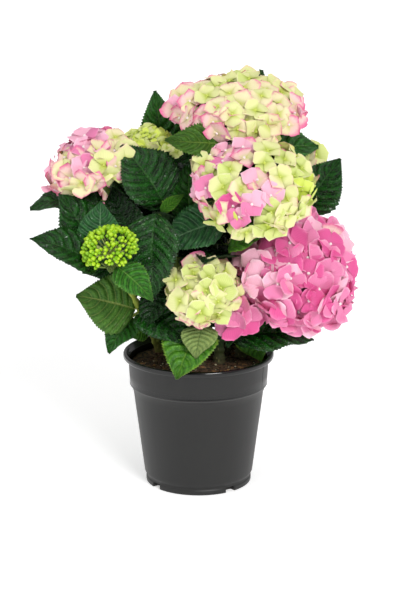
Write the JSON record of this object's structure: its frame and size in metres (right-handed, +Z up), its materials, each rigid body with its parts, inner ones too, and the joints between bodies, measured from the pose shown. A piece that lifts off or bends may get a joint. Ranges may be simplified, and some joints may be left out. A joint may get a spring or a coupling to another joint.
{
  "type": "potted bigleaf hydrangea",
  "caption": "Bushy flowering hydrangea with round pink and cream flower heads, broad toothed leaves and green canes in a round dark plastic nursery pot filled with soil.",
  "frame": {"origin": "centre of the pot's flat underside", "axes": "+Z up, -Y towards the plant's front as pictured, +X to its right"},
  "size_m": [0.4043, 0.3429, 0.5264],
  "materials": {
    "pot_plastic": "matte",
    "potting_soil": "rough",
    "green_cane": "satin",
    "leaf_green": "satin",
    "petal_pink": "matte",
    "petal_cream": "matte",
    "bud_green": "matte"
  },
  "bodies": {
    "root": {"pot": "pot_plastic", "soil": "potting_soil", "cane_top": "green_cane", "foliage_top": "leaf_green", "flowers_top": "petal_cream", "cane_left": "green_cane", "foliage_left": "leaf_green", "flowers_left": "petal_pink", "cane_front": "green_cane", "foliage_front": "leaf_green", "flowers_front": "petal_pink", "cane_right": "green_cane", "foliage_right": "leaf_green", "flowers_right": "petal_pink", "cane_low": "green_cane", "foliage_low": "leaf_green", "flowers_low": "petal_cream", "cane_lime": "green_cane", "foliage_lime": "leaf_green", "flowers_lime": "petal_cream", "cane_buds": "green_cane", "foliage_buds": "leaf_green", "flowers_buds": "bud_green", "cane_leafy_shoot": "green_cane", "foliage_leafy_shoot": "leaf_green", "cane_back_right": "green_cane", "foliage_back_right": "leaf_green", "flowers_back_right": "petal_cream", "cane_back_left": "green_cane", "foliage_back_left": "leaf_green", "flowers_back_left": "petal_pink", "cane_back_low": "green_cane", "foliage_back_low": "leaf_green", "flowers_back_low": "petal_cream"}
  },
  "joints": []
}
